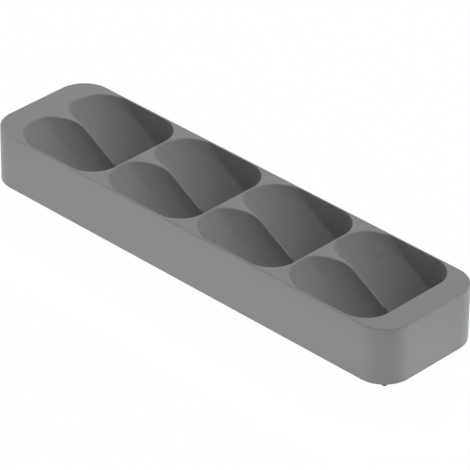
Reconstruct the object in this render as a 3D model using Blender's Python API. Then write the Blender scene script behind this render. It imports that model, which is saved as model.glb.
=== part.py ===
"""Spice storage box: one moulded tray with eight sloping jar troughs, standing on four rubber feet.

Lengths are in metres. X runs along the tray towards the deep ends of its pockets, Y across it and Z up.
The origin is on the surface that the feet stand on, under the middle of the tray.
"""

import math

import bmesh
import bpy
from mathutils import Vector

# Outside of the tray
LENGTH = 0.400
WIDTH = 0.0996
SKIRT_HEIGHT = 0.0453
CORNER_RADIUS = 0.023
DECK_EDGE_RADIUS = 0.001

# Walls
SKIRT_WALL = 0.0018
DECK_WALL = 0.0020
POCKET_SKIN = 0.0018
RIM_WALL = 0.0018
WEB_WALL = 0.0016
RIDGE_WALL = 0.0016

# Pockets, measured from the shallow tips of the troughs to the deep end wall
POCKET_COUNT = 4
POCKET_LENGTH = 0.0884
DEEP_END_MARGIN = 0.0206
POCKET_CORNER_RADIUS = 0.022

# Troughs, which lie side by side in each pocket and run down into its well
# Square to the fall, their section is a flat bed, a wide arc out to the rim and a tight one up to the ridge
TROUGH_ANGLE = math.radians(31)
BED_OFFSET = 0.0020
OUTER_ARC_RADIUS = 0.051
RIM_FILLET_RADIUS = 0.005
RIDGE_ARC_RADIUS = 0.016
WELL_LENGTH = 0.0254
WELL_STEP = 0.0005

# Ridge between two troughs, which starts beyond their tips and falls almost as steeply as they do
RIDGE_START = 0.0273
RIDGE_ANGLE = math.radians(30)
RIDGE_START_RADIUS = 0.028
RIDGE_NOSE_RADIUS = 0.004

# Feet, one in each corner, with a ribbed stem pushed into a hollow post
FOOT_DIAMETER = 0.0056
FOOT_CONTACT_DIAMETER = 0.0028
FOOT_PROJECTION = 0.0027
FOOT_SETBACK = 0.0042
FOOT_SEAT_GAP = 0.0003
STEM_DIAMETER = 0.0034
STEM_LENGTH = 0.0080
STEM_RIB_HEIGHT = 0.0003
STEM_RIB_COUNT = 3
STEM_CLEARANCE = 0.0003
POST_WALL = 0.0016

# How finely curves are cut up
CORNER_STEPS = 12
OUTER_ARC_STEPS = 8
RIM_FILLET_STEPS = 5
RIDGE_ARC_STEPS = 12
DOME_STEPS = 6
RIDGE_STEPS = 5
EDGE_STEPS = 3
ROUND_STEPS = 24
SHARP_DEGREES = 35

# How far a cutting shape passes the surface that it opens, and how far two of them overlap
REACH = 0.004
OVERLAP = 0.0004

BASE_Z = FOOT_PROJECTION
DECK_Z = BASE_Z + SKIRT_HEIGHT
FALL = math.tan(TROUGH_ANGLE)
POCKET_HALF_WIDTH = WIDTH / 2 - RIM_WALL
TROUGH_HALF_WIDTH = (POCKET_HALF_WIDTH - RIDGE_WALL / 2) / 2
TROUGH_CENTRE_Y = POCKET_HALF_WIDTH - TROUGH_HALF_WIDTH
RAMP_LENGTH = POCKET_LENGTH - WELL_LENGTH
WELL_Z = DECK_Z - RAMP_LENGTH * FALL - WELL_STEP
BORE_RADIUS = STEM_DIAMETER / 2 + STEM_RIB_HEIGHT + STEM_CLEARANCE

QUARTER = math.pi / 2
SIDES = {"front": -1, "back": 1}
ENDS = {"left": -1, "right": 1}


def clear_scene():
    for old in list(bpy.data.objects):
        bpy.data.objects.remove(old, do_unlink=True)


def make_material(name, colour, roughness):
    material = bpy.data.materials.new(name)
    material.use_nodes = True
    shader = material.node_tree.nodes["Principled BSDF"]
    shader.inputs["Base Color"].default_value = (*colour, 1.0)
    shader.inputs["Roughness"].default_value = roughness
    shader.inputs["Metallic"].default_value = 0.0
    return material


def add_object(name, edit, collection=None):
    """Turns an edited mesh into an object whose faces point outwards."""
    bmesh.ops.recalc_face_normals(edit, faces=edit.faces)
    mesh = bpy.data.meshes.new(name)
    edit.to_mesh(mesh)
    edit.free()
    made = bpy.data.objects.new(name, mesh)
    (collection or bpy.context.scene.collection).objects.link(made)
    return made


def hide(made):
    """Marks a shape that only cuts others."""
    made.hide_render = True
    made.display_type = "WIRE"
    return made


def cutter_collection(name):
    collection = bpy.data.collections.new(name)
    bpy.context.scene.collection.children.link(collection)
    return collection


def ring_mesh(rings):
    """Joins closed rings with the same number of points, in order, and caps the first and the last."""
    edit = bmesh.new()
    loops = [[edit.verts.new(point) for point in ring] for ring in rings]
    for low, high in zip(loops, loops[1:]):
        for i in range(len(low)):
            j = (i + 1) % len(low)
            edit.faces.new((low[i], low[j], high[j], high[i]))
    edit.faces.new(loops[0])
    edit.faces.new(loops[-1])
    return edit


def prism(name, outline, sweep, collection=None):
    """A cutting shape: a flat outline of 3-D points, swept in a straight line."""
    far = [Vector(point) + Vector(sweep) for point in outline]
    return hide(add_object(name, ring_mesh([outline, far]), collection))


def arc(centre, radius, start, end, steps):
    """Points round a centre in a plane, with the angles in radians from its first axis."""
    angles = [start + (end - start) * i / steps for i in range(steps + 1)]
    return [(centre[0] + radius * math.cos(a), centre[1] + radius * math.sin(a)) for a in angles]


def cut_away(target, cutters, name):
    """Subtracts an object, or everything in a collection."""
    modifier = target.modifiers.new(name, "BOOLEAN")
    modifier.operation = "DIFFERENCE"
    modifier.solver = "EXACT"
    if isinstance(cutters, bpy.types.Collection):
        modifier.operand_type = "COLLECTION"
        modifier.collection = cutters
    else:
        modifier.object = cutters


def apply_cuts(made):
    """Keeps the cut shape as the object's own mesh."""
    graph = bpy.context.evaluated_depsgraph_get()
    made.data = bpy.data.meshes.new_from_object(made.evaluated_get(graph))
    made.modifiers.clear()


def remove_cutters(collections):
    for collection in collections:
        for cutter in list(collection.objects):
            bpy.data.objects.remove(cutter, do_unlink=True)
        bpy.data.collections.remove(collection)


def finish(made, material):
    """Gives an object its material, and shades its round stretches smooth."""
    made.data.materials.clear()
    made.data.materials.append(material)
    made.data.shade_smooth()
    made.data.set_sharp_from_angle(angle=math.radians(SHARP_DEGREES))


def tray_outline(inset, z):
    """The tray's outline at one height, drawn in from its outer face."""
    x = LENGTH / 2 - CORNER_RADIUS
    y = WIDTH / 2 - CORNER_RADIUS
    corners = ((x, y), (-x, y), (-x, -y), (x, -y))
    points = []
    for turn, corner in enumerate(corners):
        points += arc(corner, CORNER_RADIUS - inset, turn * QUARTER, (turn + 1) * QUARTER, CORNER_STEPS)
    return [(px, py, z) for px, py in points]


def pocket_tips():
    """X of the shallow tips of each pocket, from left to right."""
    last = LENGTH / 2 - DEEP_END_MARGIN - POCKET_LENGTH
    return [last - (POCKET_LENGTH + WEB_WALL) * i for i in reversed(range(POCKET_COUNT))]


def trough_section(grow):
    """Half-width and height of a trough's surface above its bed, from the rim side to the ridge side."""
    fillet_y = TROUGH_HALF_WIDTH - RIM_FILLET_RADIUS
    between = OUTER_ARC_RADIUS - RIM_FILLET_RADIUS
    turn = math.asin((fillet_y + BED_OFFSET) / between)
    fillet = (fillet_y, OUTER_ARC_RADIUS - between * math.cos(turn))
    outer = (-BED_OFFSET, OUTER_ARC_RADIUS)
    inner = (RIDGE_ARC_RADIUS - TROUGH_HALF_WIDTH, RIDGE_ARC_RADIUS)
    points = arc(fillet, RIM_FILLET_RADIUS + grow, 0, turn - QUARTER, RIM_FILLET_STEPS)
    points += arc(outer, OUTER_ARC_RADIUS + grow, turn - QUARTER, -QUARTER, OUTER_ARC_STEPS)[1:]
    points += arc(inner, RIDGE_ARC_RADIUS + grow, -QUARTER, -2 * QUARTER, RIDGE_ARC_STEPS)
    return points


def trough(name, tip_x, side, grow, collection):
    """A trough as a solid that slopes down from beyond its tip, and stays open past the deck."""
    run = REACH + RAMP_LENGTH + OVERLAP
    bed_z = DECK_Z + REACH * FALL
    top_z = bed_z + RIDGE_ARC_RADIUS / math.cos(TROUGH_ANGLE) + run * FALL
    section = [(y, bed_z + height / math.cos(TROUGH_ANGLE)) for y, height in trough_section(grow)]
    section = [(section[0][0], top_z)] + section + [(section[-1][0], top_z)]
    outline = [(tip_x - REACH, side * (TROUGH_CENTRE_Y + y), z) for y, z in section]
    return prism(name, outline, (run, 0, -run * FALL), collection)


def well(name, tip_x, grow, collection):
    """The deep end of a pocket, straight at its left and with round corners at its right."""
    left = tip_x + RAMP_LENGTH - grow
    right = tip_x + POCKET_LENGTH + grow
    half_width = POCKET_HALF_WIDTH + grow
    radius = POCKET_CORNER_RADIUS + grow
    plan = [(left, -half_width)]
    plan += arc((right - radius, radius - half_width), radius, -QUARTER, 0, CORNER_STEPS)
    plan += arc((right - radius, half_width - radius), radius, 0, QUARTER, CORNER_STEPS)
    plan.append((left, half_width))
    floor_z = WELL_Z - grow
    outline = [(x, y, floor_z) for x, y in plan]
    return prism(name, outline, (0, 0, DECK_Z + REACH - floor_z), collection)


def ridge_line(tip_x):
    """The top of the ridge in side view, as it leaves the deck, falls, and drops into the well."""
    bend_x = tip_x + RIDGE_START
    start_x = bend_x - RIDGE_START_RADIUS * math.tan(RIDGE_ANGLE / 2)
    start = (start_x, DECK_Z - RIDGE_START_RADIUS)
    nose_x = tip_x + RAMP_LENGTH - RIDGE_NOSE_RADIUS
    line_z = DECK_Z - (nose_x - bend_x) * math.tan(RIDGE_ANGLE)
    nose_z = line_z - RIDGE_NOSE_RADIUS / math.cos(RIDGE_ANGLE)
    falling = QUARTER - RIDGE_ANGLE
    points = arc(start, RIDGE_START_RADIUS, QUARTER, falling, RIDGE_STEPS)
    return points + arc((nose_x, nose_z), RIDGE_NOSE_RADIUS, falling, 0, RIDGE_STEPS)


def ridge_clearance(name, tip_x, collection):
    """The space above a ridge, which opens the two troughs of a pocket to each other."""
    line = ridge_line(tip_x)
    left = line[0][0] - REACH
    right = line[-1][0] + OVERLAP
    top_z = DECK_Z + REACH
    side_view = [(left, top_z)] + line + [(right, line[-1][1]), (right, top_z)]
    outline = [(x, -TROUGH_CENTRE_Y, z) for x, z in side_view]
    return prism(name, outline, (0, 2 * TROUGH_CENTRE_Y, 0), collection)


def foot_axes():
    """Where each foot stands in plan, by name."""
    corner_x = LENGTH / 2 - CORNER_RADIUS
    corner_y = WIDTH / 2 - CORNER_RADIUS
    out = (CORNER_RADIUS - FOOT_SETBACK) / math.sqrt(2)
    return {
        f"{side}_{end}": (ENDS[end] * (corner_x + out), SIDES[side] * (corner_y + out))
        for side in SIDES
        for end in ENDS
    }


def post(name, centre, radius, collection):
    """An upright cylinder from below the skirt to the underside of the deck, or into it."""
    circle = arc(centre, radius, 0, 4 * QUARTER, ROUND_STEPS)[:-1]
    outline = [(x, y, BASE_Z - REACH) for x, y in circle]
    return prism(name, outline, (0, 0, SKIRT_HEIGHT - DECK_WALL + REACH), collection)


def under_space(solids, collection):
    """The hollow under the tray, left round the pockets' skins and the foot posts."""
    rings = [tray_outline(SKIRT_WALL, BASE_Z - REACH), tray_outline(SKIRT_WALL, DECK_Z - DECK_WALL)]
    space = hide(add_object("under_space", ring_mesh(rings), collection))
    cut_away(space, solids, "pockets_and_posts")
    return space


def tray_block():
    """The tray before it is hollowed, with its rounded deck edge."""
    edge = (DECK_EDGE_RADIUS, DECK_Z - DECK_EDGE_RADIUS)
    rings = [tray_outline(0, BASE_Z)]
    for inset, z in arc(edge, DECK_EDGE_RADIUS, 2 * QUARTER, QUARTER, EDGE_STEPS):
        rings.append(tray_outline(inset, z))
    return add_object("tray", ring_mesh(rings))


def make_tray(material):
    skins = cutter_collection("skins_and_posts")
    openings = cutter_collection("pocket_and_bore_openings")
    for number, tip_x in enumerate(pocket_tips(), start=1):
        for label, side in SIDES.items():
            trough(f"trough_skin_{number}_{label}", tip_x, side, POCKET_SKIN, skins)
            trough(f"trough_{number}_{label}", tip_x, side, 0, openings)
        well(f"well_skin_{number}", tip_x, POCKET_SKIN, skins)
        well(f"well_{number}", tip_x, 0, openings)
        ridge_clearance(f"ridge_clearance_{number}", tip_x, openings)
    for label, centre in foot_axes().items():
        post(f"post_{label}", centre, BORE_RADIUS + POST_WALL, skins)
        post(f"bore_{label}", centre, BORE_RADIUS, openings)
    hollow = cutter_collection("hollow")
    tray = tray_block()
    cut_away(tray, under_space(skins, hollow), "under_space")
    cut_away(tray, openings, "openings")
    apply_cuts(tray)
    remove_cutters((skins, openings, hollow))
    finish(tray, material)


def foot_profile():
    """Half of a foot's outline as (radius, z), from the floor up to the tip of its stem."""
    head_top = FOOT_PROJECTION - FOOT_SEAT_GAP
    contact = FOOT_CONTACT_DIAMETER / 2
    spread = FOOT_DIAMETER / 2 - contact
    points = []
    for i in range(DOME_STEPS + 1):
        angle = QUARTER * i / DOME_STEPS
        points.append((contact + spread * math.sin(angle), head_top * (1 - math.cos(angle))))
    core = STEM_DIAMETER / 2
    pitch = STEM_LENGTH / (STEM_RIB_COUNT + 1)
    points.append((core, head_top))
    for i in range(STEM_RIB_COUNT):
        rib_z = head_top + pitch * (i + 1)
        points.append((core, rib_z - STEM_RIB_HEIGHT))
        points.append((core + STEM_RIB_HEIGHT, rib_z))
        points.append((core, rib_z + 2 * STEM_RIB_HEIGHT))
    points.append((core, head_top + STEM_LENGTH - STEM_RIB_HEIGHT))
    points.append((core - STEM_RIB_HEIGHT, head_top + STEM_LENGTH))
    return points


def make_foot(label, centre, material):
    rings = []
    for radius, z in foot_profile():
        circle = arc((0, 0), radius, 0, 4 * QUARTER, ROUND_STEPS)[:-1]
        rings.append([(x, y, z) for x, y in circle])
    foot = add_object(f"foot_{label}", ring_mesh(rings))
    foot.location = (*centre, 0)
    finish(foot, material)


def main():
    clear_scene()
    make_tray(make_material("grey_polypropylene", (0.24, 0.24, 0.24), 0.45))
    rubber = make_material("black_rubber", (0.03, 0.03, 0.03), 0.8)
    for label, centre in foot_axes().items():
        make_foot(label, centre, rubber)


main()
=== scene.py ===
"""Looks of the spice storage box: a satin grey moulding on black rubber feet, in soft light.

The tray is modelled again here as a fine surface, with the small radii that a moulding has on its
edges. Its shape is written as a signed distance in millimetres, negative inside the plastic, in
the same frame as the CAD.
"""

import math

import bpy
import numpy as np
from mathutils import Matrix, Vector


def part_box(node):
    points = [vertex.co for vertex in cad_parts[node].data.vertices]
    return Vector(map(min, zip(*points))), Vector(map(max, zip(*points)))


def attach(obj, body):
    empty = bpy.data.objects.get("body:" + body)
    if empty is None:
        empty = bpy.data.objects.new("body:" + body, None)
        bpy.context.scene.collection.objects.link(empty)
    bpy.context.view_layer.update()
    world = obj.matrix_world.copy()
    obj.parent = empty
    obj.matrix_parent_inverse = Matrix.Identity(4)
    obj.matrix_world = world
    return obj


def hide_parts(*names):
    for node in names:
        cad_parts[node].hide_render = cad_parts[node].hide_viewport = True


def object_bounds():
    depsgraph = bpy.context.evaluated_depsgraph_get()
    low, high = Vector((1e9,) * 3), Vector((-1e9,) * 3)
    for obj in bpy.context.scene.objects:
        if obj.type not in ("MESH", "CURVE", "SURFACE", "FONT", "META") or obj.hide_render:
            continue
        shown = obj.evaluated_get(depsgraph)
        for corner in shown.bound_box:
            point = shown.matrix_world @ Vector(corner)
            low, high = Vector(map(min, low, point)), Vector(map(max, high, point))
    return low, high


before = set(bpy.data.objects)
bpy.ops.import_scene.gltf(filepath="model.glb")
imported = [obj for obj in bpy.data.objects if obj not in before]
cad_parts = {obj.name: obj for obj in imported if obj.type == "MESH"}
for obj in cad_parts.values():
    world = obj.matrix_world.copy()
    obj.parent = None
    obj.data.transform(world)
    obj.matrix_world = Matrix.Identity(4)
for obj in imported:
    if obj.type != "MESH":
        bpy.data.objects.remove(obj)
cad_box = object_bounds()

MM = 0.001

# Outside of the tray, in millimetres, with its length, width and heights from the frame
HALF_LENGTH, HALF_WIDTH, DECK_Z = (round(value / MM, 1) for value in cad_box[1])
BASE_Z = round(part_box("tray")[0].z / MM, 1)
CORNER_RADIUS = 23.0

# Walls
SKIRT_WALL = 1.8
DECK_WALL = 2.0
POCKET_SKIN = 1.8
RIM_WALL = 1.8
WEB_WALL = 1.6
RIDGE_WALL = 1.6

# Pockets, measured from the shallow tips of their troughs to their deep ends
POCKET_COUNT = 4
POCKET_LENGTH = 88.4
DEEP_END_MARGIN = 20.6
POCKET_CORNER_RADIUS = 22.0
POCKET_PITCH = POCKET_LENGTH + WEB_WALL
POCKET_HALF_WIDTH = HALF_WIDTH - RIM_WALL
FIRST_TIP = HALF_LENGTH - DEEP_END_MARGIN - POCKET_LENGTH - (POCKET_COUNT - 1) * POCKET_PITCH

# Troughs. Square to their fall they have a flat bed, a wide arc to the rim and a tight one to the ridge
TROUGH_ANGLE = math.radians(31)
TROUGH_HALF_WIDTH = (POCKET_HALF_WIDTH - RIDGE_WALL / 2) / 2
TROUGH_CENTRE_Y = POCKET_HALF_WIDTH - TROUGH_HALF_WIDTH
BED_OFFSET = 2.0
OUTER_ARC_RADIUS = 51.0
RIDGE_ARC_RADIUS = 16.0
RAMP_LENGTH = 63.0
WELL_STEP = 0.5
FALL = math.tan(TROUGH_ANGLE)
WELL_Z = DECK_Z - RAMP_LENGTH * FALL - WELL_STEP

# The corner between a trough and its rim wall, which is soft near the tip and crisp at the well
RIM_FILLET_STRETCH = (10.0, 34.0)
RIM_FILLET_RADII = (10.0, 2.5)

# Ridges, whose tops bend down from the deck and end in a nose over the well
RIDGE_START = 27.3
RIDGE_ANGLE = math.radians(30)
RIDGE_START_RADIUS = 28.0
RIDGE_NOSE_RADIUS = 4.0

# Hollow posts under the corners, which hold the feet
FOOT_SETBACK = 4.2
BORE_RADIUS = 2.3
POST_WALL = 1.6
POST_RADIUS = BORE_RADIUS + POST_WALL
POST_TOP_DEPTH = 1.0

# Radii on the edges of the moulding
DECK_EDGE = 0.85
RIM_EDGE = 0.6
BASE_EDGE = 0.4
WELL_FLOOR_FILLET = 2.5
UNDERSIDE_FILLET = 1.0
POST_FILLET = 0.8

# Where troughs and ridges end over a well: how far they run on into it, and the lengths over which
# the well floor's fillet grows and the ridge's end moves out by the rim's radius
TROUGH_OVERLAP = 0.4
RIDGE_OVERLAP = 0.2
FLOOR_FILLET_RUN = 4.0
RIDGE_END_RUN = 3.0

# A place up to this far past a pocket's tip is still counted to the pocket before it
TIP_REACH = 1.0

# A distance past anything on the tray
FAR = 99.0

# The fine mesh: its most triangles, the cosine of the turn between neighbouring points that marks a
# small radius, and the longest side of a triangle that still follows one
MOST_TRIANGLES = 196000
SMALL_RADIUS_COSINE = math.cos(math.radians(8))
LONG_SIDE = 2.5

# Looks
PLASTIC_GREY = 0.24
CLOUD_GREYS = (PLASTIC_GREY * 0.985, PLASTIC_GREY * 1.015)
# Paler grey on the sharp edges: partly wear, partly a painted highlight along the crests and rims
WORN_AND_HIGHLIT_EDGE_GREY = PLASTIC_GREY * 1.25
RUBBER_GREYS = (0.018, 0.035)
FLOOR_GREY = 0.85
FLOOR_WHITENESS = 0.985
FLOOR_REACH = 3.0
WORLD_LEVEL = 0.44

# Sink lines on the skirt, painted as a faint shade in its colour: their height over the troughs' beds and
# the strength of their painted shade. The pairs say where they are whole and where they have faded out:
# beside their middle, towards the tips and towards the wells from a pocket's tip, and across the tray from
# its middle
SINK_LINE_LIFT = 9.5
SINK_LINE_SHADE_STRENGTH = 0.035
SINK_LINE_EDGE = (0.3, 1.6)
SINK_LINE_START = (20.0, 16.0)
SINK_LINE_END = (52.0, 58.0)
SKIRT_FACE = (HALF_WIDTH - 0.3, HALF_WIDTH - 0.8)

# A small smudge in the last back trough, whole and faded out at these distances from its middle
SMUDGE_PLACE = (113.6, 35.6, 36.0)
SMUDGE_STRENGTH = 0.13
SMUDGE_EDGE = (0.5, 4.2)

# The photograph's view, solved from the tray's outline: angles in degrees, the rest in millimetres
VIEW_AZIMUTH = 43.99
VIEW_ELEVATION = 32.3
VIEW_ROLL = 0.65
VIEW_DISTANCE = 2875.5
VIEW_CENTRE = (0, -0.3, 25.5)
VIEW_SHIFT_RIGHT = 5.263
VIEW_SHIFT_UP = -5.649
SENSOR_WIDTH = 36
FOCAL_LENGTH = 306.43


# The tray's shape

def meet(a, b, radius=0.0):
    """Both shapes at once, with a radius on the outward edge where their faces cross."""
    grown_a = np.maximum(a + radius, 0)
    grown_b = np.maximum(b + radius, 0)
    return np.minimum(np.maximum(a, b), -radius) + np.hypot(grown_a, grown_b)


def join(a, b, radius=0.0):
    """Either shape, with a fillet in the corner where their faces cross."""
    return -meet(-a, -b, radius)


def corner_distance(dx, dy, radius):
    """Distance to two faces and the arc between them, from the distances past the arc's centre."""
    return np.hypot(np.maximum(dx, 0), np.maximum(dy, 0)) + np.minimum(np.maximum(dx, dy), 0) - radius


def tray_plan(x, y):
    """Distance to the tray's outline in plan."""
    dx = np.abs(x) - HALF_LENGTH + CORNER_RADIUS
    dy = np.abs(y) - HALF_WIDTH + CORNER_RADIUS
    return corner_distance(dx, dy, CORNER_RADIUS)


def pocket_plan(u, y):
    """Distance to a pocket's outline in plan: open to the left, round at its two deep corners."""
    du = u - POCKET_LENGTH + POCKET_CORNER_RADIUS
    dy = np.abs(y) - POCKET_HALF_WIDTH + POCKET_CORNER_RADIUS
    return corner_distance(du, dy, POCKET_CORNER_RADIUS)


def trough_space(u, y, z):
    """Free space of the two troughs. U runs from their tips, and their section is square to their fall."""
    height = (z - DECK_Z + FALL * u) * math.cos(TROUGH_ANGLE)
    outward = np.abs(y) - TROUGH_CENTRE_Y
    from_bed = outward + BED_OFFSET
    arc = np.hypot(from_bed, height - OUTER_ARC_RADIUS) - OUTER_ARC_RADIUS
    outer = np.where(height < OUTER_ARC_RADIUS, arc, np.abs(from_bed) - OUTER_ARC_RADIUS)
    fillet = np.interp(u, RIM_FILLET_STRETCH, RIM_FILLET_RADII)
    to_rim = meet(outer, outward - TROUGH_HALF_WIDTH, fillet)
    to_ridge = meet(-height, -outward - TROUGH_HALF_WIDTH, RIDGE_ARC_RADIUS)
    return np.where(from_bed > 0, to_rim, to_ridge)


def pocket_space(u, y, z):
    """Free space of one pocket, still without its ridge."""
    past_ramp = u - RAMP_LENGTH - TROUGH_OVERLAP
    troughs = np.maximum(trough_space(u, y, z), past_ramp)
    well = np.maximum(RAMP_LENGTH - u, WELL_Z - z)
    floor_fillet = WELL_FLOOR_FILLET * np.clip(past_ramp / FLOOR_FILLET_RUN, 0, 1)
    return meet(pocket_plan(u, y), join(troughs, well, RIM_EDGE), floor_fillet)


def crest(u, z):
    """Distance to the deck's top as it bends down into the ridge's falling line, in side view."""
    reach = RIDGE_START_RADIUS * math.tan(RIDGE_ANGLE / 2)
    along = u - RIDGE_START + reach
    up = z - DECK_Z + RIDGE_START_RADIUS
    past = along * math.cos(RIDGE_ANGLE) - up * math.sin(RIDGE_ANGLE)
    falling = (z - DECK_Z) * math.cos(RIDGE_ANGLE) + (u - RIDGE_START) * math.sin(RIDGE_ANGLE)
    bend = np.where(past > 0, falling, np.hypot(along, up) - RIDGE_START_RADIUS)
    return np.where(along < 0, z - DECK_Z, bend)


def ridge_top(u, z):
    """Distance to a ridge's top in side view, with the nose where it drops into the well."""
    nose_u = RAMP_LENGTH - RIDGE_NOSE_RADIUS
    line_z = DECK_Z - (nose_u - RIDGE_START) * math.tan(RIDGE_ANGLE)
    nose_z = line_z - RIDGE_NOSE_RADIUS / math.cos(RIDGE_ANGLE)
    along = u - nose_u
    up = z - nose_z
    past = along * math.cos(RIDGE_ANGLE) - up * math.sin(RIDGE_ANGLE)
    nose = np.where(past < 0, crest(u, z), np.hypot(along, up) - RIDGE_NOSE_RADIUS)
    end = u - RAMP_LENGTH - RIM_EDGE * np.clip(-up / RIDGE_END_RUN, 0, 1)
    return np.where(up < 0, np.maximum(end, crest(u, z)), nose)


def pockets_and_top(x, y, z):
    """Free space of all the pockets, and the top of the deck and the ridges."""
    from_tip = x - FIRST_TIP
    number = np.clip(np.floor((from_tip - TIP_REACH) / POCKET_PITCH), 0, POCKET_COUNT - 1)
    u = from_tip - number * POCKET_PITCH
    here = pocket_space(u, y, z)
    beyond = np.where(number < POCKET_COUNT - 1, pocket_space(u - POCKET_PITCH, y, z), FAR)
    over_ridge = (np.abs(y) < TROUGH_CENTRE_Y) & (u < RAMP_LENGTH + RIDGE_OVERLAP)
    return np.minimum(here, beyond), np.where(over_ridge, ridge_top(u, z), z - DECK_Z)


def hollow(plan, pockets, z):
    """Free space under the tray."""
    inside = meet(plan + SKIRT_WALL, z - DECK_Z + DECK_WALL, UNDERSIDE_FILLET)
    return meet(inside, POCKET_SKIN - np.maximum(pockets, WELL_Z - z), UNDERSIDE_FILLET)


def tray(x, y, z):
    """Signed distance to the whole tray."""
    x, y, z = (np.asarray(values, float) for values in (x, y, z))
    pockets, top = pockets_and_top(x, y, z)
    plan = tray_plan(x, y)
    block = meet(meet(plan, top, DECK_EDGE), BASE_Z - z, BASE_EDGE)
    shell = meet(block, -hollow(plan, pockets, z), BASE_EDGE)
    out = (CORNER_RADIUS - FOOT_SETBACK) / math.sqrt(2)
    foot_x = np.abs(x) - (HALF_LENGTH - CORNER_RADIUS + out)
    foot_y = np.abs(y) - (HALF_WIDTH - CORNER_RADIUS + out)
    from_axis = np.hypot(foot_x, foot_y)
    post = meet(from_axis - POST_RADIUS, BASE_Z - z, BASE_EDGE)
    post = np.maximum(post, z - DECK_Z + POST_TOP_DEPTH)
    opened = meet(join(shell, post, POST_FILLET), -pockets, RIM_EDGE)
    bore = np.maximum(from_axis - BORE_RADIUS, z - DECK_Z + DECK_WALL)
    return np.maximum(opened, -bore)


# The tray's mesh

def lines(start, *stretches):
    """Grid lines through stretches of (end, spacing), each drawn a little closer to fit."""
    values = []
    for end, spacing in stretches:
        steps = max(1, math.ceil((end - start) / spacing - 1e-6))
        values += [start + (end - start) * i / steps for i in range(steps)]
        start = end
    return np.array(values + [start])


def grid_lines():
    """Grid lines along X, Y and Z, close together at the small radii and wide along straight stretches."""
    finest, fine_across, fine, plain, loose, wide = 0.3, 0.33, 0.4, 0.8, 1.04, 1.6
    past_side, end_edge, web_edge, rim_edge, ramp_edge = 0.55, 1.4, 1.5, 0.7, 1.1
    past_bend, nose_reach, ridge_reach, floor_reach, deck_reach = 6, 4.7, 2.6, 2.4, 2.6
    off_middle, past_wall, under_floor, over_deck = 0.17, 0.5, 0.6, 0.4
    pocket = ((web_edge, fine), (RIDGE_START + past_bend, plain), (RAMP_LENGTH - nose_reach, wide),
              (RAMP_LENGTH + ramp_edge, fine), (POCKET_LENGTH - POCKET_CORNER_RADIUS, loose),
              (POCKET_LENGTH - rim_edge, plain), (POCKET_PITCH - web_edge, fine))
    tips = [FIRST_TIP + POCKET_PITCH * i for i in range(POCKET_COUNT)]
    along = lines(-HALF_LENGTH - past_side, (-HALF_LENGTH + end_edge, fine), (FIRST_TIP - web_edge, plain),
                  *[(tip + end, spacing) for tip in tips for end, spacing in pocket],
                  (HALF_LENGTH - end_edge, plain), (HALF_LENGTH + past_side, fine))
    half = lines(off_middle, (ridge_reach, fine_across), (POCKET_HALF_WIDTH - ramp_edge, plain),
                 (HALF_WIDTH + past_wall, fine_across))
    across = np.concatenate([-half[::-1], half])
    up = lines(BASE_Z - past_wall, (BASE_Z + ramp_edge, fine), (WELL_Z - under_floor, plain),
               (WELL_Z + floor_reach, finest), (DECK_Z - deck_reach, plain), (DECK_Z + over_deck, finest))
    return along, across, up


def sample(xs, ys, zs, slab=48):
    """The field on the whole grid, worked out in slabs to save memory."""
    field = np.empty((len(xs), len(ys), len(zs)), np.float32)
    for i in range(0, len(xs), slab):
        field[i:i + slab] = tray(xs[i:i + slab, None, None], ys[None, :, None], zs[None, None, :])
    return field


def corner(array, di, dj, dk):
    """The part of a grid array that holds one corner of every cell."""
    nx, ny, nz = array.shape
    return array[di:nx - 1 + di, dj:ny - 1 + dj, dk:nz - 1 + dk]


def cell_points(axes, field, cells, corners):
    """One point in each cell: the middle of the places where the surface crosses its edges."""
    total = np.zeros((len(cells), 3))
    count = np.zeros(len(cells))
    starts = [(a, axis) for a in corners for axis in range(3) if not a[axis]]
    for a, axis in starts:
        b = tuple(1 if n == axis else a[n] for n in range(3))
        at_a = tuple((cells + a).T)
        at_b = tuple((cells + b).T)
        value_a, value_b = field[at_a], field[at_b]
        crossed = (value_a < 0) != (value_b < 0)
        share = np.where(crossed, value_a / np.where(crossed, value_a - value_b, 1), 0)
        for n, line in enumerate(axes):
            place = line[at_a[n]] + (line[at_b[n]] - line[at_a[n]]) * share
            total[:, n] += np.where(crossed, place, 0)
        count += crossed
    return total / count[:, None]


def crossing_quads(inside, number, axis):
    """A quad round every grid edge along one axis that the surface crosses, facing out of the plastic."""
    low = inside[tuple(slice(0, -1) if n == axis else slice(1, -1) for n in range(3))]
    high = inside[tuple(slice(1, None) if n == axis else slice(1, -1) for n in range(3))]
    edge = np.argwhere(low != high)
    outward = low[tuple(edge.T)]
    ring = []
    for first, second in ((0, 0), (1, 0), (1, 1), (0, 1)):
        at = edge.copy()
        at[:, (axis + 1) % 3] += first
        at[:, (axis + 2) % 3] += second
        ring.append(number[tuple(at.T)])
    ring = np.stack(ring, axis=1)
    return np.where(outward[:, None], ring, ring[:, ::-1])


def surface_net(xs, ys, zs, field):
    """Points and quads of a closed surface where the field is zero."""
    inside = field < 0
    corners = [(i, j, k) for i in (0, 1) for j in (0, 1) for k in (0, 1)]
    held = sum(corner(inside, *c).astype(np.int8) for c in corners)
    active = (held > 0) & (held < len(corners))
    cells = np.argwhere(active)
    number = np.full(active.shape, -1, np.int32)
    number[active] = np.arange(len(cells))
    points = cell_points((xs, ys, zs), field, cells, corners)
    return points, np.concatenate([crossing_quads(inside, number, axis) for axis in range(3)])


def gradient(points, reach=0.01):
    """Slope of the field at scattered points."""
    columns = []
    for axis in range(3):
        ahead, behind = points.copy(), points.copy()
        ahead[:, axis] += reach
        behind[:, axis] -= reach
        columns.append((tray(*ahead.T) - tray(*behind.T)) / (2 * reach))
    return np.stack(columns, axis=1)


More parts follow.
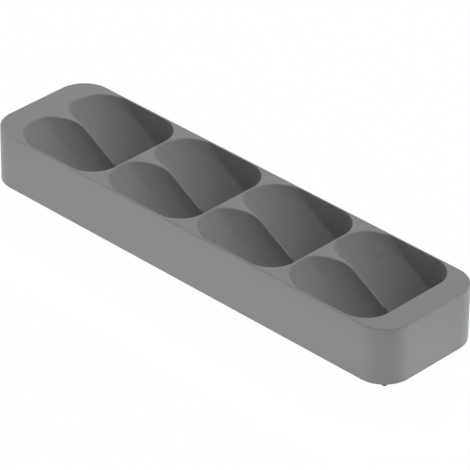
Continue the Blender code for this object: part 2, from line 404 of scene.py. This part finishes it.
def settle(points, rounds=4, longest=0.4, least_slope=0.05):
    """Moves points onto the surface."""
    for _ in range(rounds):
        slope = gradient(points)
        size = np.maximum((slope ** 2).sum(1), least_slope)
        step = slope * (tray(*points.T) / size)[:, None]
        length = np.linalg.norm(step, axis=1)
        points = points - step * np.minimum(1, longest / np.maximum(length, 1e-9))[:, None]
    return points


def unit(vectors):
    """The same directions with a length of 1."""
    return vectors / np.maximum(np.linalg.norm(vectors, axis=-1, keepdims=True), 1e-9)


def small_radii(points, quads):
    """Marks the points at the small radii that show from above, and the points next to them."""
    off_hollow, off_base = 0.3, 1.5
    normals = unit(gradient(points))
    ends_a = quads.ravel()
    ends_b = np.roll(quads, -1, axis=1).ravel()
    turn = 1 - (normals[ends_a] * normals[ends_b]).sum(1)
    most = np.zeros(len(points))
    np.maximum.at(most, ends_a, turn)
    np.maximum.at(most, ends_b, turn)
    x, y, z = points.T
    pockets, _ = pockets_and_top(x, y, z)
    above = (hollow(tray_plan(x, y), pockets, z) > off_hollow) & (z > BASE_Z + off_base)
    marked = (most > 1 - SMALL_RADIUS_COSINE) & above
    spread = marked.copy()
    spread[ends_a[marked[ends_b]]] = True
    spread[ends_b[marked[ends_a]]] = True
    return spread


def surface_mesh(name, points, quads):
    """A mesh in metres from points in millimetres and their quads."""
    mesh = bpy.data.meshes.new(name)
    mesh.vertices.add(len(points))
    mesh.vertices.foreach_set("co", (points * MM).astype(np.float32).ravel())
    mesh.loops.add(quads.size)
    mesh.loops.foreach_set("vertex_index", quads.astype(np.int32).ravel())
    mesh.polygons.add(len(quads))
    mesh.polygons.foreach_set("loop_start", np.arange(0, quads.size, 4, dtype=np.int32))
    mesh.update(calc_edges=True)
    return mesh


def thinned(made, kept):
    """Thins an object's mesh to the triangles that it may have, and leaves the marked points alone."""
    group = made.vertex_groups.new(name="free")
    group.add(np.nonzero(~kept)[0].tolist(), 1.0, "REPLACE")
    modifier = made.modifiers.new("thin", "DECIMATE")
    modifier.ratio = MOST_TRIANGLES / (2 * len(made.data.polygons))
    modifier.vertex_group = group.name
    modifier.use_collapse_triangulate = True
    mesh = bpy.data.meshes.new_from_object(made.evaluated_get(bpy.context.evaluated_depsgraph_get()))
    made.modifiers.clear()
    made.vertex_groups.clear()
    made.data = mesh


def shade(mesh):
    """Gives each corner the surface's own direction, except in long triangles that leave a small radius."""
    points = np.empty(len(mesh.vertices) * 3, np.float32)
    mesh.vertices.foreach_get("co", points)
    points = points.reshape(-1, 3).astype(float) / MM
    corners = np.empty(len(mesh.loops), np.int32)
    mesh.loops.foreach_get("vertex_index", corners)
    triangles = corners.reshape(-1, 3)
    at = points[triangles]
    sides = np.roll(at, -1, axis=1) - at
    longest = np.linalg.norm(sides, axis=2).max(1)
    flat = unit(np.cross(sides[:, 0], sides[:, 1]))[:, None, :].repeat(3, axis=1)
    smooth = unit(gradient(points))[triangles]
    leaving = (longest[:, None] > LONG_SIDE) & ((flat * smooth).sum(2) < SMALL_RADIUS_COSINE)
    normals = np.where(leaving[..., None], flat, smooth)
    mesh.shade_smooth()
    mesh.normals_split_custom_set(normals.reshape(-1, 3).tolist())
    print("triangles", len(triangles), "off the surface at most", np.abs(tray(*points.T)).max())


def make_tray():
    """The fine tray, as one closed mesh."""
    xs, ys, zs = grid_lines()
    points, quads = surface_net(xs, ys, zs, sample(xs, ys, zs))
    points = settle(points)
    made = bpy.data.objects.new("tray_surface", surface_mesh("tray_surface", points, quads))
    bpy.context.scene.collection.objects.link(made)
    thinned(made, small_radii(points, quads))
    shade(made.data)
    return made


# Materials

def input_of(made, key):
    """A node's input by its name, with _ for a space, or by its number after an i."""
    if key[0] == "i" and key[1:].isdigit():
        return made.inputs[int(key[1:])]
    return made.inputs[key.replace("_", " ")]


def node(tree, kind, at, settings=None, **inputs):
    """Adds a shader node with its settings, sets its plain inputs and links the others."""
    made = tree.nodes.new(kind)
    made.location = at
    for key, value in (settings or {}).items():
        setattr(made, key, value)
    for key, value in inputs.items():
        socket = input_of(made, key)
        if isinstance(value, bpy.types.NodeSocket):
            tree.links.new(value, socket)
        else:
            socket.default_value = value
    return made


def blank_material(name):
    """A new material, its node tree and its Principled shader."""
    material = bpy.data.materials.new(name)
    material.use_nodes = True
    tree = material.node_tree
    return material, tree, tree.nodes["Principled BSDF"]


def grey(value):
    """A grey as a colour."""
    return (value, value, value, 1.0)


def noise(tree, at, place, scale, detail):
    """Noise that stays with the object."""
    made = node(tree, "ShaderNodeTexNoise", at, Vector=place, Scale=scale, Detail=detail)
    return made.outputs["Fac"]


def span(tree, at, value, low, high, start=0.3, end=0.7):
    """Spreads a value between two levels, from its start to its end, which suit noise."""
    made = node(tree, "ShaderNodeMapRange", at, Value=value, From_Min=start, From_Max=end,
                To_Min=low, To_Max=high)
    return made.outputs["Result"]


def fade(tree, at, length, start, end):
    """1 where a length is at its start or before it, falling to 0 at its end, both in millimetres."""
    return span(tree, at, length, 1.0, 0.0, start * MM, end * MM)


def calculate(tree, at, operation, first, second=0.0):
    """The result of a sum with one or two numbers."""
    return node(tree, "ShaderNodeMath", at, {"operation": operation}, i0=first, i1=second).outputs[0]


def mixed(tree, at, share, first, second):
    """A mix of two colours, with a share of the second."""
    return node(tree, "ShaderNodeMix", at, {"data_type": "RGBA"}, i0=share, i6=first, i7=second).outputs[2]


def roughen(tree, shader, height, strength):
    """A bump of a tenth of a millimetre on a shader's surface."""
    bump = node(tree, "ShaderNodeBump", (-450, -300), Strength=strength, Distance=0.1 * MM, Height=height)
    tree.links.new(bump.outputs["Normal"], shader.inputs["Normal"])


def sink_lines(tree, place):
    """1 on the skirt along the lines where the troughs' skins meet it from inside, and 0 elsewhere."""
    axes = node(tree, "ShaderNodeSeparateXYZ", (-2300, 900), Vector=place).outputs
    from_first = calculate(tree, (-2100, 900), "SUBTRACT", axes["X"], FIRST_TIP * MM)
    along = calculate(tree, (-1900, 900), "FLOORED_MODULO", from_first, POCKET_PITCH * MM)
    fallen = calculate(tree, (-1700, 900), "MULTIPLY", along, FALL)
    height = calculate(tree, (-1500, 900), "ADD", axes["Z"], fallen)
    above = calculate(tree, (-1300, 900), "SUBTRACT", height, (DECK_Z + SINK_LINE_LIFT) * MM)
    beside = calculate(tree, (-1200, 1100), "ABSOLUTE", above)
    across = calculate(tree, (-1300, 1300), "ABSOLUTE", axes["Y"])
    line = fade(tree, (-1100, 900), beside, *SINK_LINE_EDGE)
    for length, limits in ((along, SINK_LINE_START), (along, SINK_LINE_END), (across, SKIRT_FACE)):
        shown = fade(tree, (-1100, 1300), length, *limits)
        line = calculate(tree, (-900, 1100), "MULTIPLY", line, shown)
    return line


def smudge(tree, place):
    """1 in the middle of the smudge, falling to 0 at its edge."""
    middle = [value * MM for value in SMUDGE_PLACE]
    reach = node(tree, "ShaderNodeVectorMath", (-1300, 700), {"operation": "DISTANCE"}, i0=place, i1=middle)
    return fade(tree, (-1100, 700), reach.outputs["Value"], *SMUDGE_EDGE)


def tray_plastic():
    """Satin grey polypropylene: fine grain, faint clouds, paler edges that are partly wear and partly a
    painted highlight, sink lines painted as shade, and a smudge.
    """
    material, tree, shader = blank_material("tray_plastic")
    place = node(tree, "ShaderNodeTexCoord", (-1500, 0)).outputs["Object"]
    clouds = span(tree, (-1000, 300), noise(tree, (-1200, 300), place, 14.0, 3.0), 0.0, 1.0)
    colour = mixed(tree, (-700, 300), clouds, *[grey(value) for value in CLOUD_GREYS])
    sharpness = node(tree, "ShaderNodeNewGeometry", (-1200, -100)).outputs["Pointiness"]
    # Paler sharp edges, partly wear and partly a painted highlight
    wear_and_highlight = span(tree, (-900, 0), sharpness, 0.0, 0.9, 0.51, 0.58)
    colour = mixed(tree, (-450, 300), wear_and_highlight, colour, grey(WORN_AND_HIGHLIT_EDGE_GREY))
    # Painted shade along the sink lines, darkening the colour where their shallow dents would catch less
    # light
    sink_line_shade = calculate(tree, (-700, 1100), "MULTIPLY", sink_lines(tree, place), SINK_LINE_SHADE_STRENGTH)
    dirty = calculate(tree, (-700, 700), "MULTIPLY", smudge(tree, place), SMUDGE_STRENGTH)
    shade_and_smudge = calculate(tree, (-500, 900), "ADD", sink_line_shade, dirty)
    # Darkens the colour by the painted sink-line shade and by the smudge
    colour = mixed(tree, (-250, 300), shade_and_smudge, colour, grey(0.0))
    tree.links.new(colour, shader.inputs["Base Color"])
    speckle = noise(tree, (-1200, 100), place, 900.0, 2.0)
    tree.links.new(span(tree, (-450, 0), speckle, 0.44, 0.56), shader.inputs["Roughness"])
    roughen(tree, shader, noise(tree, (-1200, -300), place, 1500.0, 3.0), 0.12)
    shader.inputs["IOR"].default_value = 1.49
    shader.inputs["Specular IOR Level"].default_value = 0.35
    return material


def foot_rubber():
    """Matt black rubber, a little dusty where it is roughest."""
    material, tree, shader = blank_material("foot_rubber")
    place = node(tree, "ShaderNodeTexCoord", (-1200, 0)).outputs["Object"]
    dust = noise(tree, (-900, 200), place, 600.0, 4.0)
    dusty = span(tree, (-700, 200), dust, 0.0, 1.0)
    colour = mixed(tree, (-450, 200), dusty, *[grey(value) for value in RUBBER_GREYS])
    tree.links.new(colour, shader.inputs["Base Color"])
    tree.links.new(span(tree, (-450, -50), dust, 0.7, 0.9), shader.inputs["Roughness"])
    roughen(tree, shader, dust, 0.3)
    return material


# Floor, world, lamps and camera

def looked_at(tree):
    """1 where the camera, a reflection or a clear body looks, 0 for the light that falls on things."""
    rays = node(tree, "ShaderNodeLightPath", (-800, 300)).outputs
    seen = calculate(tree, (-600, 300), "MAXIMUM", rays["Is Camera Ray"], rays["Is Glossy Ray"])
    return calculate(tree, (-400, 300), "MAXIMUM", seen, rays["Is Transmission Ray"])


def show(tree, output, share, plain, white):
    """Gives a tree's output a plain shader, and a share of a white one."""
    mix = node(tree, "ShaderNodeMixShader", (300, 0), i0=share, i1=plain.outputs[0], i2=white.outputs[0])
    tree.links.new(mix.outputs[0], tree.nodes[output].inputs["Surface"])


def make_floor():
    """A floor that looks almost white, also in reflections, and keeps a faint shadow of the tray."""
    mesh = bpy.data.meshes.new("floor")
    corners = [(x * FLOOR_REACH, y * FLOOR_REACH, 0) for x, y in ((-1, -1), (1, -1), (1, 1), (-1, 1))]
    mesh.from_pydata(corners, [], [(0, 1, 2, 3)])
    floor = bpy.data.objects.new("floor", mesh)
    bpy.context.scene.collection.objects.link(floor)
    material, tree, shader = blank_material("floor_white")
    shader.inputs["Base Color"].default_value = grey(FLOOR_GREY)
    shader.inputs["Roughness"].default_value = 0.9
    shader.inputs["Specular IOR Level"].default_value = 0.0
    white = node(tree, "ShaderNodeEmission", (0, -300), Color=grey(1.0), Strength=1.0)
    share = calculate(tree, (-50, 300), "MULTIPLY", looked_at(tree), FLOOR_WHITENESS)
    show(tree, "Material Output", share, shader, white)
    mesh.materials.append(material)


def make_world():
    """Even, pale surroundings, plain white to the camera and in reflections."""
    world = bpy.data.worlds.new("surroundings")
    bpy.context.scene.world = world
    world.use_nodes = True
    tree = world.node_tree
    plain = tree.nodes["Background"]
    plain.inputs["Color"].default_value = grey(1.0)
    plain.inputs["Strength"].default_value = WORLD_LEVEL
    white = node(tree, "ShaderNodeBackground", (0, -200), Color=grey(1.0), Strength=1.0)
    show(tree, "World Output", looked_at(tree), plain, white)


def make_lamp(name, place, target, width, height, power):
    """A rectangular soft light that faces its target and isn't seen itself."""
    data = bpy.data.lights.new(name, "AREA")
    data.shape = "RECTANGLE"
    data.size = width
    data.size_y = height
    data.energy = power
    lamp = bpy.data.objects.new(name, data)
    lamp.location = place
    lamp.rotation_euler = (Vector(target) - Vector(place)).to_track_quat("-Z", "Y").to_euler()
    lamp.visible_camera = False
    bpy.context.scene.collection.objects.link(lamp)


def make_level_strip(name, x, y, z, width, height, power):
    """A low strip light that faces the tray's middle at its own height."""
    make_lamp(name, (x, y, z), (0, 0, z), width, height, power)


def make_lamps():
    """Large lamps behind and to the left, and low strips round the tray that light its upright sides.

    Places and sizes are in metres, and powers in watts.
    """
    middle = (0, 0, 0.03)
    make_lamp("key_back_left", (-2.728, 2.728, 4.596), middle, 3.6, 3.6, 62.0)
    make_lamp("fill_back", (0, 1.149, 0.964), middle, 0.9, 0.9, 2.0)
    make_lamp("fill_left", (-5.356, 0.944, 2.536), middle, 3.6, 3.6, 68.0)
    make_level_strip("strip_front", 0, -0.9, 0.022, 1.6, 0.04, 0.62)
    make_level_strip("strip_right", 1.0, 1.43, 0.03, 1.2, 0.06, 13.0)
    make_level_strip("floor_strip_front", 0, -0.13, 0.006, 0.46, 0.01, 0.062)
    make_level_strip("strip_left", -1.2, -0.5, 0.03, 0.5, 0.06, 1.9)
    make_level_strip("floor_strip_right", 0.28, 0, 0.006, 0.13, 0.01, 0.017)
    make_lamp("floor_strip_corner", (0.25, -0.1, 0.015), (0.19, -0.04, 0.015), 0.04, 0.02, 0.0045)
    make_level_strip("skirt_strip_front", 0, -0.075, 0.004, 0.36, 0.004, 0.0052)
    make_level_strip("skirt_strip_right", 0.225, 0, 0.004, 0.06, 0.004, 0.001)


def make_camera():
    """The photograph's view: from the right and the front, high up, far away through a long lens."""
    azimuth, elevation, roll = (math.radians(v) for v in (VIEW_AZIMUTH, VIEW_ELEVATION, VIEW_ROLL))
    level_back = Vector((math.sin(azimuth), -math.cos(azimuth), 0))
    level = Vector((math.cos(azimuth), math.sin(azimuth), 0))
    back = level_back * math.cos(elevation) + Vector((0, 0, math.sin(elevation)))
    upright = back.cross(level)
    right = math.cos(roll) * level + math.sin(roll) * upright
    up = math.cos(roll) * upright - math.sin(roll) * level
    offset = right * VIEW_SHIFT_RIGHT + up * VIEW_SHIFT_UP + back * VIEW_DISTANCE
    place = (Vector(VIEW_CENTRE) + offset) * MM
    data = bpy.data.cameras.new("camera")
    data.sensor_width = SENSOR_WIDTH
    data.lens = FOCAL_LENGTH
    data.clip_end = 20
    camera = bpy.data.objects.new("camera", data)
    turn = Matrix((right, up, back)).transposed().to_4x4()
    camera.matrix_world = Matrix.Translation(place) @ turn
    bpy.context.scene.collection.objects.link(camera)
    bpy.context.scene.camera = camera


# Dressing the frame

surface = make_tray()
surface.data.materials.clear()
surface.data.materials.append(tray_plastic())
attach(surface, "root")
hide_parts("tray")
rubber = foot_rubber()
for name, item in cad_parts.items():
    if name.startswith("foot_"):
        item.material_slots[0].material = rubber

make_floor()
make_world()
make_lamps()
make_camera()
bpy.context.scene.view_settings.view_transform = "Standard"
